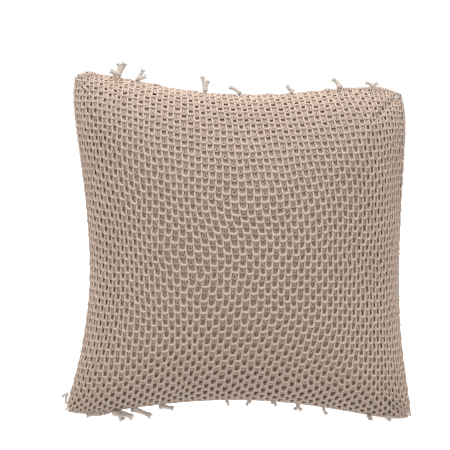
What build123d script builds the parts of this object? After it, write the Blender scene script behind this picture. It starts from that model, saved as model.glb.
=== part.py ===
"""Throw pillow: a knitted cover with knotted yarn ends, a lining, a zip in the back and a filled insert.

The pillow stands upright on its two bottom corners. +Z is up, +X is to the right seen from the front,
and the front faces -Y. The origin is at the bottom centre of the cover. Millimetres throughout.
"""

import os
from math import cos, radians, sin

from build123d import *

os.makedirs("parts", exist_ok=True)

# ---- Driving dimensions ----

# The cover's four corners, before rounding, from the middle of the cover: (x, z).
bottom_left = (-226, -223)
bottom_right = (226, -225)
top_right = (220, 207)
top_left = (-215, 224)

# How far the middle of each side is pulled in by the filling.
bottom_sag = 26
right_sag = 14
top_sag = 18
left_sag = 26

crown = 75              # from the seam to the flat of the crown, front and back alike

# Layers, from the outside in: how far each face lies inside the outside of the cover.
knit_inner = 3.0
lining_outer = 3.4
lining_inner = 4.2
insert_outer = 4.6
insert_inner = 5.4
filling_outer = 5.8

knit_seam_half = 1.5    # half the width of the knitted seam
lining_seam_half = 0.2
insert_seam_half = 0.6

# The rounding of the pillow between seam and crown:
# (share of the crown's height, brought in from the seam line, share of the side sag, corner radius).
pillow_sections = [
    (0.00, 0, 1.00, 18),
    (0.40, 18, 0.85, 30),
    (0.68, 50, 0.60, 45),
    (0.88, 95, 0.40, 50),
    (1.00, 148, 0.20, 40),
]

# The zip, across the lower back.
zip_height = 72         # above the surface that the pillow stands on
zip_depth = 52          # behind the seam plane
zip_lean = 27           # degrees that its face looks downwards
zip_half_length = 168
tape_outer = 13
tape_inner = 1.4
tape_thickness = 0.6
coil_half_length = 160
coil_width = 2.0
coil_bottom = 0.3
coil_top = 2.0
stop_length = 3
pocket_margin = 0.6     # around the tapes, in every layer
pocket_floor = 4.2      # the flat that the filling keeps behind the zip

slider_length = 12
slider_width = 8.8
slider_closed = 153.5   # middle of the slider from the middle of the zip, when closed
plate_thickness = 1.0
top_plate_bottom = 2.5
bottom_plate_bottom = -1.9
flange_thickness = 0.7
flange_bottom = 0.75
post_width = 1.6
bridge_inner = 2.05     # half the space between the bridge's two posts
bridge_post = 0.9
bridge_length = 2.2
pin_height = 5.6
pin_radius = 0.6

pull_length = 22
pull_width = 7
pull_neck = 3.4
pull_thickness = 1.2
eye_outer = 1.8
eye_inner = 1.0
pull_hole = 1.8

# The blank care label, folded under the lower tape.
label_length = 36
label_width = 10
label_thickness = 0.4
label_drop = 3.0

# Knotted yarn ends: (share of the seam's length, how far in front of the seam, knot radius,
# and for each loose end its lean from straight out, in degrees, and its length).
yarn_radius = 1.4
tip_radius = 0.85
top_knots = [
    (0.145, 0, 4.5, [(-35, 12), (12, 15), (55, 10)]),
    (0.205, 0, 3.5, [(35, 12), (75, 11)]),
    (0.395, 0, 3.5, [(-20, 18), (14, 18)]),
    (0.495, 0, 3.0, [(-60, 13)]),
    (0.655, 0, 3.0, [(-50, 11), (25, 9)]),
    (0.795, 0, 3.5, [(-55, 13), (10, 8)]),
    (0.900, 0, 3.0, [(60, 8)]),
]
bottom_knots = [
    (0.100, 0, 2.6, [(-75, 12)]),
    (0.150, 0, 3.5, [(25, 14), (62, 20)]),
    (0.225, 0, 3.5, [(78, 18), (-35, 11)]),
    (0.300, 0, 3.5, [(74, 18)]),
    (0.470, 0, 3.0, [(20, 8)]),
    (0.530, 0, 3.0, [(-25, 9)]),
    (0.605, 0, 3.0, [(40, 9)]),
    (0.675, 0, 3.5, [(-40, 12), (35, 13)]),
    (0.745, 0, 3.0, [(15, 10)]),
    (0.870, 0, 2.8, [(8, 14)]),
    (0.920, 8, 2.2, [(0, 11)]),
]
corner_knots = [
    (0.925, 0, 2.4, [(-88, 14), (-74, 9)]),
]
corner_knot_reach = 5.4  # how far the corner's knot sticks out of the cover, to the left
clearance = 0.3         # between a knot and its seam, and between yarn and the surface below


# ---- The cover's outline and the layers made from it ----

sides = [
    (bottom_left, bottom_right, bottom_sag),
    (bottom_right, top_right, right_sag),
    (top_right, top_left, top_sag),
    (top_left, bottom_left, left_sag),
]


def side_points(side, inset, bow):
    """Start, middle and end of one side, brought in by inset, with a share bow of its sag."""
    start, end = [Vector(x - inset * (1 if x > 0 else -1), z - inset * (1 if z > 0 else -1))
                  for x, z in side[:2]]
    inward = (end - start).normalized().rotate(Axis.Z, 90)
    return start, (start + end) / 2 + inward * side[2] * bow, end


def outline(inset, bow, radius):
    """The outline as a sketch: four bowed sides with round corners."""
    with BuildSketch() as sketch:
        with BuildLine():
            for side in sides:
                ThreePointArc(*side_points(side, inset, bow))
        make_face()
        fillet(sketch.vertices(), radius)
    return sketch.sketch


seam_radius = pillow_sections[0][3]
seam_box = outline(0, 1, seam_radius).bounding_box()
cover_plane = Plane(
    origin=((corner_knot_reach - seam_box.min.X - seam_box.max.X) / 2, 0, -seam_box.min.Y),
    x_dir=(1, 0, 0),
    z_dir=(0, -1, 0),
)
front = 1
back = -1


def half_form(face, inset):
    """The solid between the seam plane and the crown, on the front or the back."""
    with BuildPart() as form:
        for share, brought_in, bow, radius in pillow_sections:
            with BuildSketch(cover_plane.offset(face * share * (crown - inset))):
                add(outline(brought_in + inset, bow, radius))
        loft()
    return form.part


def layer(face, outer, inner, seam_half):
    """One half of a layer of cloth, open at the seam plane."""
    outer_form = half_form(face, outer)
    inner_form = half_form(face, inner)
    with BuildPart() as half:
        add(outer_form)
        add(inner_form, mode=Mode.SUBTRACT)
        split(
            bisect_by=cover_plane.offset(face * seam_half),
            keep=Keep.TOP if face == front else Keep.BOTTOM,
        )
    return half.part


# The zip's own plane: x runs along the zip, to the right seen from behind, y up the back, z outwards.
zip_out = Vector(0, cos(radians(zip_lean)), -sin(radians(zip_lean)))
zip_up = Vector(0, sin(radians(zip_lean)), cos(radians(zip_lean)))
zip_origin = Vector(0, zip_depth, zip_height)
zip_plane = Plane(origin=zip_origin, x_dir=(-1, 0, 0), z_dir=zip_out)
zip_middle = Plane(origin=zip_origin, x_dir=(-1, 0, 0), z_dir=zip_up)

with BuildPart() as zip_pocket:
    with BuildSketch(zip_plane.offset(-pocket_floor)):
        Rectangle(2 * (zip_half_length + pocket_margin), 2 * (tape_outer + pocket_margin))
    extrude(amount=2 * crown)


def back_piece(whole, keep):
    """The part of a back layer above or below the zip, clear of the zip's tapes."""
    with BuildPart() as piece:
        add(whole)
        add(zip_pocket.part, mode=Mode.SUBTRACT)
        split(bisect_by=zip_middle, keep=keep)
    return piece.part


# ---- Knitted cover ----

with BuildPart() as front_knit_panel:
    add(layer(front, 0, knit_inner, knit_seam_half))
front_knit_panel.part.label = "front_knit_panel"
export_step(front_knit_panel.part, "parts/front_knit_panel.step")

back_knit = layer(back, 0, knit_inner, knit_seam_half)

with BuildPart() as back_knit_upper:
    add(back_piece(back_knit, Keep.TOP))
back_knit_upper.part.label = "back_knit_upper"
export_step(back_knit_upper.part, "parts/back_knit_upper.step")

with BuildPart() as back_knit_lower:
    add(back_piece(back_knit, Keep.BOTTOM))
back_knit_lower.part.label = "back_knit_lower"
export_step(back_knit_lower.part, "parts/back_knit_lower.step")


# ---- Seams of the cover: one to a side, mitred at the corners ----

def seam_strip(side):
    """The seam along one side, cut off at the lines from the middle to its two corners."""
    start, middle, end = side_points(side, 0, 1)
    with BuildPart() as strip:
        with BuildSketch(cover_plane) as ring:
            add(outline(0, 1, seam_radius))
            add(outline(knit_inner, 1, seam_radius), mode=Mode.SUBTRACT)
        extrude(amount=knit_seam_half, both=True)
        with BuildSketch(cover_plane):
            Polygon((0, 0), (start.X * 2, start.Y * 2), (end.X * 2, end.Y * 2), align=None)
        extrude(amount=knit_seam_half, both=True, mode=Mode.INTERSECT)
    return strip.part


for seam_name, side in zip(["bottom_seam", "right_seam", "top_seam", "left_seam"], sides):
    seam = seam_strip(side)
    seam.label = seam_name
    export_step(seam, f"parts/{seam_name}.step")


# ---- Lining ----

with BuildPart() as front_lining:
    add(layer(front, lining_outer, lining_inner, lining_seam_half))
front_lining.part.label = "front_lining"
export_step(front_lining.part, "parts/front_lining.step")

back_lining = layer(back, lining_outer, lining_inner, lining_seam_half)

with BuildPart() as back_lining_upper:
    add(back_piece(back_lining, Keep.TOP))
back_lining_upper.part.label = "back_lining_upper"
export_step(back_lining_upper.part, "parts/back_lining_upper.step")

with BuildPart() as back_lining_lower:
    add(back_piece(back_lining, Keep.BOTTOM))
back_lining_lower.part.label = "back_lining_lower"
export_step(back_lining_lower.part, "parts/back_lining_lower.step")


# ---- Insert: two panels, the sewn edge between them, and the filling ----

with BuildPart() as insert_front_panel:
    add(layer(front, insert_outer, insert_inner, insert_seam_half))
insert_front_panel.part.label = "insert_front_panel"
export_step(insert_front_panel.part, "parts/insert_front_panel.step")

insert_back = layer(back, insert_outer, insert_inner, insert_seam_half)

with BuildPart() as insert_back_panel:
    add(insert_back)
    add(zip_pocket.part, mode=Mode.SUBTRACT)
insert_back_panel.part.label = "insert_back_panel"
export_step(insert_back_panel.part, "parts/insert_back_panel.step")

with BuildPart() as insert_edge_seam:
    with BuildSketch(cover_plane):
        add(outline(insert_outer, 1, seam_radius))
        add(outline(insert_inner, 1, seam_radius), mode=Mode.SUBTRACT)
    extrude(amount=insert_seam_half, both=True)
insert_edge_seam.part.label = "insert_edge_seam"
export_step(insert_edge_seam.part, "parts/insert_edge_seam.step")

filling_front = half_form(front, filling_outer)
filling_back = half_form(back, filling_outer)

with BuildPart() as fibre_filling:
    add(filling_front)
    add(filling_back)
    add(zip_pocket.part, mode=Mode.SUBTRACT)
fibre_filling.part.label = "fibre_filling"
export_step(fibre_filling.part, "parts/fibre_filling.step")


# ---- Zip: tapes, coils, stops ----

tape_middle = (tape_inner + tape_outer) / 2
coil_middle = tape_inner + coil_width / 2

for tape_name, coil_name, upward in [
    ("zip_tape_upper", "zip_coil_upper", 1),
    ("zip_tape_lower", "zip_coil_lower", -1),
]:
    with BuildPart() as tape:
        with BuildSketch(zip_plane.offset(-tape_thickness / 2)):
            with Locations((0, upward * tape_middle)):
                Rectangle(2 * zip_half_length, tape_outer - tape_inner)
        extrude(amount=tape_thickness)
    tape.part.label = tape_name
    export_step(tape.part, f"parts/{tape_name}.step")

    with BuildPart() as coil:
        with BuildSketch(zip_plane.offset(coil_bottom)):
            with Locations((0, upward * coil_middle)):
                Rectangle(2 * coil_half_length, coil_width)
        extrude(amount=coil_top - coil_bottom)
        fillet(coil.edges().filter_by(Axis.X).group_by(SortBy.DISTANCE)[-1], coil_width / 5)
    coil.part.label = coil_name
    export_step(coil.part, f"parts/{coil_name}.step")

stop_middle = coil_half_length + stop_length / 2

with BuildPart() as zip_top_stops:
    with BuildSketch(zip_plane.offset(coil_bottom)):
        with Locations((stop_middle, coil_middle), (stop_middle, -coil_middle)):
            RectangleRounded(stop_length, coil_width, coil_width / 4)
    extrude(amount=coil_top - coil_bottom)
zip_top_stops.part.label = "zip_top_stops"
export_step(zip_top_stops.part, "parts/zip_top_stops.step")

with BuildPart() as zip_bottom_stop:
    with BuildSketch(zip_plane.offset(coil_bottom)):
        with Locations((-stop_middle, 0)):
            RectangleRounded(stop_length, 2 * (tape_inner + coil_width), coil_width / 4)
    extrude(amount=coil_top - coil_bottom)
zip_bottom_stop.part.label = "zip_bottom_stop"
export_step(zip_bottom_stop.part, "parts/zip_bottom_stop.step")


# ---- Zip slider, with the bridge that holds the pull's pin ----

slider_end_radius = 2
pin_plane = Plane(
    origin=zip_plane.from_local_coords((slider_closed, 0, pin_height)),
    x_dir=(-1, 0, 0),
    z_dir=zip_up,
)

with BuildPart() as zip_slider:
    for plate_bottom in (top_plate_bottom, bottom_plate_bottom):
        with BuildSketch(zip_plane.offset(plate_bottom)):
            with Locations((slider_closed, 0)):
                RectangleRounded(slider_length, slider_width, slider_end_radius)
        extrude(amount=plate_thickness)
    with BuildSketch(zip_plane.offset(bottom_plate_bottom)):
        with Locations((slider_closed + slider_length / 2 - 2 * post_width, 0)):
            RectangleRounded(2 * post_width, post_width, post_width / 3)
    extrude(amount=top_plate_bottom - bottom_plate_bottom)
    flange_middle = (slider_width - flange_thickness) / 2
    with BuildSketch(zip_plane.offset(flange_bottom)):
        with Locations((slider_closed, flange_middle), (slider_closed, -flange_middle)):
            Rectangle(slider_length - 2 * slider_end_radius, flange_thickness)
    extrude(amount=top_plate_bottom - flange_bottom)
    bridge_middle = bridge_inner + bridge_post / 2
    with BuildSketch(zip_plane.offset(top_plate_bottom + plate_thickness)):
        with Locations((slider_closed, bridge_middle), (slider_closed, -bridge_middle)):
            Rectangle(bridge_length, bridge_post)
    extrude(amount=pin_height + 2 * pin_radius - top_plate_bottom - plate_thickness)
    with BuildSketch(pin_plane):
        Circle(pin_radius)
    extrude(amount=bridge_middle, both=True)
zip_slider.part.label = "zip_slider"
export_step(zip_slider.part, "parts/zip_slider.step")


# ---- Pull tab: an eye on the bridge's pin and a flat tab over the closed zip ----

with BuildPart() as zip_pull:
    with BuildSketch(zip_plane.offset(pin_height - pull_thickness / 2)):
        with BuildLine():
            neck_end = slider_closed - pull_length / 3
            tab_end = slider_closed - pull_length + pull_width / 2
            upper_side = Polyline(
                (slider_closed, pull_neck / 2),
                (neck_end, pull_neck / 2),
                (tab_end, pull_width / 2),
            )
            ThreePointArc(upper_side @ 1, (slider_closed - pull_length, 0), (tab_end, -pull_width / 2))
            Polyline(
                (tab_end, -pull_width / 2),
                (neck_end, -pull_neck / 2),
                (slider_closed, -pull_neck / 2),
                (slider_closed, pull_neck / 2),
            )
        make_face()
        with Locations((tab_end, 0)):
            Circle(pull_hole, mode=Mode.SUBTRACT)
    extrude(amount=pull_thickness)
    with BuildSketch(pin_plane):
        Circle(eye_outer)
    extrude(amount=pull_neck / 2, both=True)
    with BuildSketch(pin_plane):
        Circle(eye_inner)
    extrude(amount=pull_neck, both=True, mode=Mode.SUBTRACT)
zip_pull.part.label = "zip_pull"
export_step(zip_pull.part, "parts/zip_pull.step")


# ---- Blank care label, folded under the lower tape ----

with BuildPart() as care_label:
    with BuildSketch(zip_plane.offset(-label_drop - label_thickness)):
        with Locations((0, -tape_outer + label_width / 2)):
            Rectangle(label_length, label_width)
    extrude(amount=label_thickness)
    with BuildSketch(zip_plane.offset(-label_drop)):
        with Locations((0, -tape_outer + label_thickness / 2)):
            Rectangle(label_length, label_thickness)
    extrude(amount=label_drop - tape_thickness / 2)
care_label.part.label = "care_label"
export_step(care_label.part, "parts/care_label.step")


# ---- Knotted yarn ends along the seams ----

def yarn_knot(seam_arc, outward, sideways, knot):
    """A knot that sits on a seam. A loose end too long for the room below it lies forwards instead."""
    share, forward, knot_radius, ends = knot
    on_seam = cover_plane.from_local_coords(seam_arc @ share)
    middle = on_seam + outward * (knot_radius + clearance) + Vector(0, -forward, 0)
    middle.Z = max(middle.Z, knot_radius + clearance)
    with BuildPart() as tied:
        with Locations(middle):
            Sphere(knot_radius)
        for lean, length in ends:
            straight = outward * cos(radians(lean)) + sideways * sin(radians(lean))
            tip = middle + straight * (knot_radius + length)
            too_low = max(tip_radius + clearance - tip.Z, 0)
            tip += Vector(0, -too_low, too_low)
            direction = (tip - middle).normalized()
            with BuildSketch(Plane(origin=middle, z_dir=direction)):
                Circle(yarn_radius)
            with BuildSketch(Plane(origin=tip, z_dir=direction)):
                Circle(tip_radius)
            loft()
    return tied.part


with BuildLine() as seam_lines:
    bottom_arc = ThreePointArc(*side_points(sides[0], 0, 1))
    top_arc = ThreePointArc(*reversed(side_points(sides[2], 0, 1)))
    left_arc = ThreePointArc(*side_points(sides[3], 0, 1))

right = Vector(1, 0, 0)
up = Vector(0, 0, 1)

for place, seam_arc, outward, sideways, knots in [
    ("top", top_arc, up, right, top_knots),
    ("bottom", bottom_arc, -up, right, bottom_knots),
    ("corner", left_arc, -right, up, corner_knots),
]:
    for number, knot in enumerate(knots, start=1):
        tied = yarn_knot(seam_arc, outward, sideways, knot)
        tied.label = f"{place}_knot_{number}"
        export_step(tied, f"parts/{place}_knot_{number}.step")
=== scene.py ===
# %% [markdown]
# # A knitted throw pillow, stitch by stitch
# The pillow is a knitted cotton cover with a lining, a zip in its back and a filled insert. Everything is
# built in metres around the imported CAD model, which gives each piece its place. The cloth comes first,
# because every other piece follows it: it is blown up from a flat cover by a cloth simulation, and the
# stitches are then laid on it one loop at a time.

# %% Load the frame
import math

import bmesh
import bpy
import numpy as np
from mathutils import Matrix, Vector


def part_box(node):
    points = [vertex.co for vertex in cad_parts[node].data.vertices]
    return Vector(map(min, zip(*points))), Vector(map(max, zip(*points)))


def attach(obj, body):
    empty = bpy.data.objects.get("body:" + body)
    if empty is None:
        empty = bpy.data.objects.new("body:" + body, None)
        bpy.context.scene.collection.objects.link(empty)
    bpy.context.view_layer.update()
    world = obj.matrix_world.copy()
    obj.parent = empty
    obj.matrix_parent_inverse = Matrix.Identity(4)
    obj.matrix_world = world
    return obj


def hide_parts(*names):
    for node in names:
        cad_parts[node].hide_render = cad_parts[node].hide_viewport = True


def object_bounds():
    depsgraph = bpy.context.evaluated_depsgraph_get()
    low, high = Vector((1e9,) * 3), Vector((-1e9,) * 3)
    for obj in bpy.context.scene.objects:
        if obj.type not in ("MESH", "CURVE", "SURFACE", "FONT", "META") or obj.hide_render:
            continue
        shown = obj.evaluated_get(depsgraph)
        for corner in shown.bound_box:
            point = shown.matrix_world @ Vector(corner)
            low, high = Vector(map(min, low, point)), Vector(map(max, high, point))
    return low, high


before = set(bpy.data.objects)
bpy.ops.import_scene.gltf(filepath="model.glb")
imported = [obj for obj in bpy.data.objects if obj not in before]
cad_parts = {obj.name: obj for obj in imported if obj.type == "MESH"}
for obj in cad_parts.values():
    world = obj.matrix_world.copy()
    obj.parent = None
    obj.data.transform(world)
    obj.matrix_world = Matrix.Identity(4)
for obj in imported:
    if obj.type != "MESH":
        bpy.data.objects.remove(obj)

scene = bpy.context.scene
cad_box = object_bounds()
print("CAD box", [round(x, 4) for corner in cad_box for x in corner])

# %% [markdown]
# ## Camera
# The pillow is seen straight from the front, from a little above its middle, with a long lens, so that its
# sides stay nearly parallel. The camera looks past the pillow's middle by about two centimetres, which
# places it a little low and to the right of the middle of the picture.

# %% Camera
camera_distance = 1.75
camera_height_angle = math.radians(5.0)
camera_lens = 108.6
look_at = Vector((-0.0150, 0, 0.2538))


def in_scene(name, data):
    """A new object, linked to the scene."""
    made = bpy.data.objects.new(name, data)
    scene.collection.objects.link(made)
    return made


camera = in_scene("camera", bpy.data.cameras.new("camera"))
back_off = Vector((0, -math.cos(camera_height_angle), math.sin(camera_height_angle)))
camera.location = look_at + back_off * camera_distance
camera.rotation_euler = (-back_off).to_track_quat("-Z", "Y").to_euler()
camera.data.lens = camera_lens
scene.camera = camera
print("camera at", [round(x, 3) for x in camera.location])

# %% [markdown]
# ## Light
# A pale room gives even light from all round. One large soft lamp, high in front and a little to the left,
# adds the shape: it makes the upper half of the pillow bright and leaves its foot darker, which shows how
# full it is, and it picks out the bars of the stitches. A second lamp does the same for the back. The plain
# view transform keeps the cotton's own colour.

# %% Light
scene.view_settings.view_transform = "Standard"
room_light = 1.03
lamp_aim = Vector((0, 0, 0.25))
lamp_size = 1.2
lamp_watts = 40

world = bpy.data.worlds.new("pale_room")
world.use_nodes = True
world.node_tree.nodes["Background"].inputs["Color"].default_value = (1, 1, 1, 1)
world.node_tree.nodes["Background"].inputs["Strength"].default_value = room_light
scene.world = world


def soft_lamp(name, place):
    lamp = in_scene(name, bpy.data.lights.new(name, "AREA"))
    lamp.data.size = lamp_size
    lamp.data.energy = lamp_watts
    lamp.location = place
    lamp.rotation_euler = (lamp_aim - Vector(place)).to_track_quat("-Z", "Y").to_euler()


soft_lamp("key_lamp", (-0.22, -1.1, 2.35))
soft_lamp("back_lamp", (0.22, 1.1, 2.35))

# %% [markdown]
# ## Shader sums
# A finish is worked out from a few patterns. `Signal` wraps one output socket, so that patterns can be
# added and multiplied as plain Python sums; each operation adds one Math node. `Finish` is a material with
# one method for every other kind of node: settings first, then sockets.

# %% Shader helpers
class Signal:
    """One output socket of a material, for use in Python sums."""

    def __init__(self, finish, socket):
        self.finish = finish
        self.socket = socket

    def math(self, operation, *others):
        sockets = dict(enumerate((self, *others)))
        return self.finish.node("ShaderNodeMath", {"operation": operation}, sockets)

    def __add__(self, other):
        return self.math("ADD", other)

    __radd__ = __add__

    def __sub__(self, other):
        return self.math("SUBTRACT", other)

    def __rsub__(self, other):
        return self.math("MULTIPLY", -1) + other

    def __mul__(self, other):
        return self.math("MULTIPLY", other)

    __rmul__ = __mul__

    def wave(self):
        """A sine of this signal, brought to 0..1."""
        return self.math("SINE") * 0.5 + 0.5


class Finish:
    """A material whose patterns are built from nodes."""

    def __init__(self, name, **shader_values):
        self.material = bpy.data.materials.new(name)
        self.material.use_nodes = True
        self.tree = self.material.node_tree
        self.shader = self.tree.nodes["Principled BSDF"]
        for socket, value in shader_values.items():
            self.shader.inputs[socket.replace("_", " ")].default_value = value

    def node(self, kind, settings, sockets, output=0):
        made = self.tree.nodes.new(kind)
        for setting, value in settings.items():
            setattr(made, setting, value)
        for socket, value in sockets.items():
            if isinstance(value, Signal):
                self.tree.links.new(value.socket, made.inputs[socket])
            else:
                made.inputs[socket].default_value = value
        return Signal(self, made.outputs[output])

    def tone(self, share, dark, light):
        """The base colour, from dark to light."""
        colours = {0: share, 6: (*dark, 1), 7: (*light, 1)}
        self.to_shader("Base Color", self.node("ShaderNodeMix", {"data_type": "RGBA"}, colours, 2))

    def noise(self, where, scale, detail=2, roughness=0.5):
        sockets = {"Vector": where, "Scale": scale, "Detail": detail, "Roughness": roughness}
        return self.node("ShaderNodeTexNoise", {}, sockets)

    def place(self):
        return self.node("ShaderNodeTexCoord", {}, {}, "Object")

    def split(self, where, *axes):
        return [self.node("ShaderNodeSeparateXYZ", {}, {0: where}, axis) for axis in axes]

    def cloth_map(self, layer):
        """Along and across signals from one of the mesh's own maps."""
        return self.split(self.node("ShaderNodeUVMap", {"uv_map": layer}, {}), "X", "Y")

    def to_shader(self, socket, signal):
        self.tree.links.new(signal.socket, self.shader.inputs[socket])

    def bump(self, height, strength, depth):
        normal = self.node("ShaderNodeBump", {}, {"Strength": strength, "Distance": depth, "Height": height})
        self.to_shader("Normal", normal)


turn = 2 * math.pi
print("shader helpers ready")

# %% [markdown]
# ## Spun cotton yarn
# The yarn is soft matt cotton: three plies twisted together, with fine fibres that catch the light. The
# mesh carries a map named yarn, metres along the strand and turns round it. A sine of both draws the plies
# as slanting ribs, fine noise draws the fibres, and slow noise shifts the shade from stitch to stitch. A
# little sheen stands for the fuzz. The same recipe, in other shades, serves the seams and the loose ends.

# %% Yarn finishes
ply_count = 3
ply_lay = 0.0065        # metres of yarn for one turn of the plies
fibre_scale, slub_scale, patch_scale = 2600, 190, 22


def yarn_finish(name, dark, light, sheen):
    finish = Finish(name, Roughness=0.9, Sheen_Weight=sheen, Sheen_Roughness=0.6)
    along, around = finish.cloth_map("yarn")
    plies = ((around * ply_count + along * (1 / ply_lay)) * turn).wave()
    where = finish.place()
    fibres = finish.noise(where, fibre_scale, 3, 0.7)
    slub = finish.noise(where, slub_scale)
    patch = finish.noise(where, patch_scale)
    shade = plies * 0.30 + fibres * 0.40 + slub * 0.35 + patch * 0.35 - 0.20
    finish.tone(shade, dark, light)
    finish.to_shader("Roughness", fibres * 0.15 + 0.82)
    finish.bump(plies * 0.7 + fibres * 0.45, 0.55, 0.0006)
    return finish.material


knit_yarn = yarn_finish("cotton_yarn", (0.395, 0.298, 0.233), (0.575, 0.458, 0.381), 0.10)
seam_yarn = yarn_finish("seam_yarn", (0.35, 0.265, 0.210), (0.57, 0.455, 0.385), 0.10)
loose_yarn = yarn_finish("loose_yarn", (0.40, 0.340, 0.295), (0.62, 0.545, 0.485), 0.25)
print("yarn finishes", knit_yarn.name, seam_yarn.name, loose_yarn.name)

# %% [markdown]
# ## The outline of the filled cover
# A filled cover is drawn in along its sides while its corners stay out. The four sides differ: the left
# and the bottom are drawn in most, and the deepest place isn't quite in their middle. Each side is a line
# between two corners, pushed inwards by a smooth hump; a Coons patch then fills the inside, so that the
# cover's own columns and rows bend with its edge. The whole outline is then moved onto the CAD seams.

# %% Outline
seam_nodes = ["bottom_seam", "right_seam", "top_seam", "left_seam"]
seam_lows, seam_highs = zip(*(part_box(node) for node in seam_nodes))
seam_low = Vector((min(p.x for p in seam_lows), 0, min(p.z for p in seam_lows)))
seam_high = Vector((max(p.x for p in seam_highs), 0, max(p.z for p in seam_highs)))

bottom_left = np.array((-0.234, -0.223))
bottom_right = np.array((0.234, -0.2305))
top_right = np.array((0.2160, 0.2050))
top_left = np.array((-0.217, 0.227))
corner_cut = 0.0125      # how far the rounding brings a corner in, along its diagonal
corner_sharpness = 9

# (how far the side is drawn in, how narrow the hump is, how far it leans towards the side's end)
bottom_hump = (0.0265, 1.5, 0.05)
top_hump = (0.0205, 2.2, -0.30)
left_hump = (0.0315, 1.10, -0.52)
right_hump = (0.0165, 1.0, -0.70)


def hump(share, shape):
    depth, narrowness, lean = shape
    return depth * (1 - share**2) ** narrowness * (1 + lean * share)


def side(start, end, inward, shape, share):
    straight = start + (end - start) * ((share + 1) / 2)[..., None]
    return straight + np.array(inward) * hump(share, shape)[..., None]


def cover_outline_local(u, v):
    """Points of the flat cover, x and z; u and v run from -1 to 1, to the right and up."""
    right_share = ((u + 1) / 2)[..., None]
    up_share = ((v + 1) / 2)[..., None]
    low = side(bottom_left, bottom_right, (0, 1), bottom_hump, u)
    high = side(top_left, top_right, (0, -1), top_hump, u)
    left = side(bottom_left, top_left, (1, 0), left_hump, v)
    right = side(bottom_right, top_right, (-1, 0), right_hump, v)
    ruled = low * (1 - up_share) + high * up_share + left * (1 - right_share) + right * right_share
    corners = (bottom_left * (1 - right_share) + bottom_right * right_share) * (1 - up_share)
    corners = corners + (top_left * (1 - right_share) + top_right * right_share) * up_share
    rounding = corner_cut * np.abs(u * v) ** corner_sharpness
    return ruled - corners - (rounding[..., None] / math.sqrt(2)) * np.stack([np.sign(u), np.sign(v)], -1)


rim = np.linspace(-1, 1, 201)
ones = np.ones_like(rim)
foot_room = 0.0009       # the edge's yarn is a little thicker than the CAD seam
rim_points = np.concatenate([
    cover_outline_local(rim, -ones), cover_outline_local(rim, ones),
    cover_outline_local(-ones, rim), cover_outline_local(ones, rim),
])
cover_shift = np.array((
    (seam_low.x + seam_high.x - rim_points[:, 0].min() - rim_points[:, 0].max()) / 2,
    seam_low.z - rim_points[:, 1].min() + foot_room,
))
print("cover is", np.round(rim_points.max(0) - rim_points.min(0), 4), "m, moved by", np.round(cover_shift, 4))

# %% [markdown]
# ## The filled form
# A pillow could be sculpted, but its fullness comes from pressure inside a cloth bag, so the cloth
# simulation makes it. Two grids, front and back, share their edge. They start a little flatter than the
# filled form, are held along the seam, and are blown up for twenty steps. No point may move further than
# the cap. The grid's lines get closer towards the edge, where the form is round.

# %% Grids of the flat cover
cells = 64
crown = (cad_box[1].y - cad_box[0].y) / 2
start_fullness = 0.90
edge_crowding = 0.35      # 0 spaces the grid evenly, and 1/2 crowds it against the edge


def crowded(s):
    """Grid position to cover position: both run from -1 to 1."""
    return s * (1 + edge_crowding - edge_crowding * s**2)


spread_s = np.linspace(-1, 1, 2001)


def uncrowded(u):
    return np.interp(u, crowded(spread_s), spread_s)


roundness = 2.5
edge_slope = 0.57         # 1/2 would leave the seam at a right angle, 1 as a knife edge
corner_fill = 4.6


def fullness(u, v):
    """Share of the crown's height: round towards each side, thin but not empty in the corners."""
    across = np.clip(1 - np.abs(u) ** roundness, 0, 1) ** edge_slope
    upward = np.clip(1 - np.abs(v) ** roundness, 0, 1) ** edge_slope
    both = across * upward
    return both * (1 + corner_fill * (1 - across) * (1 - upward) * np.sqrt(both))


line = np.linspace(-1, 1, cells + 1)
grid_s, grid_t = np.meshgrid(line, line, indexing="ij")
grid_u, grid_v = crowded(grid_s), crowded(grid_t)
flat = cover_outline_local(grid_u, grid_v) + cover_shift
height = crown * fullness(grid_u, grid_v)
front_side, back_side = -1, 1


def form_of(face, share):
    return np.stack([flat[..., 0], face * height * share, flat[..., 1]], -1)


print("grid", flat.shape, "crown", round(crown, 4))

# %% Blow up the cover
pressure = 4.0
steps = 20
cap = 0.025


def grid_quads(ids):
    """The corners of every cell in a grid of point numbers."""
    return np.stack([ids[:-1, :-1], ids[1:, :-1], ids[1:, 1:], ids[:-1, 1:]], -1).reshape(-1, 4)


def joined_faces():
    """Faces of both grids, with the back's edge points shared with the front's."""
    count = cells + 1
    front_ids = np.arange(count * count).reshape(count, count)
    back_ids = front_ids.copy()
    inside = (slice(1, -1), slice(1, -1))
    back_ids[inside] = count * count + np.arange((count - 2) ** 2).reshape(count - 2, count - 2)
    faces = []
    for ids, flip in ((front_ids, False), (back_ids, True)):
        quads = grid_quads(ids)
        faces.extend(quads[:, ::-1].tolist() if flip else quads.tolist())
    return front_ids, back_ids, faces


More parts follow.
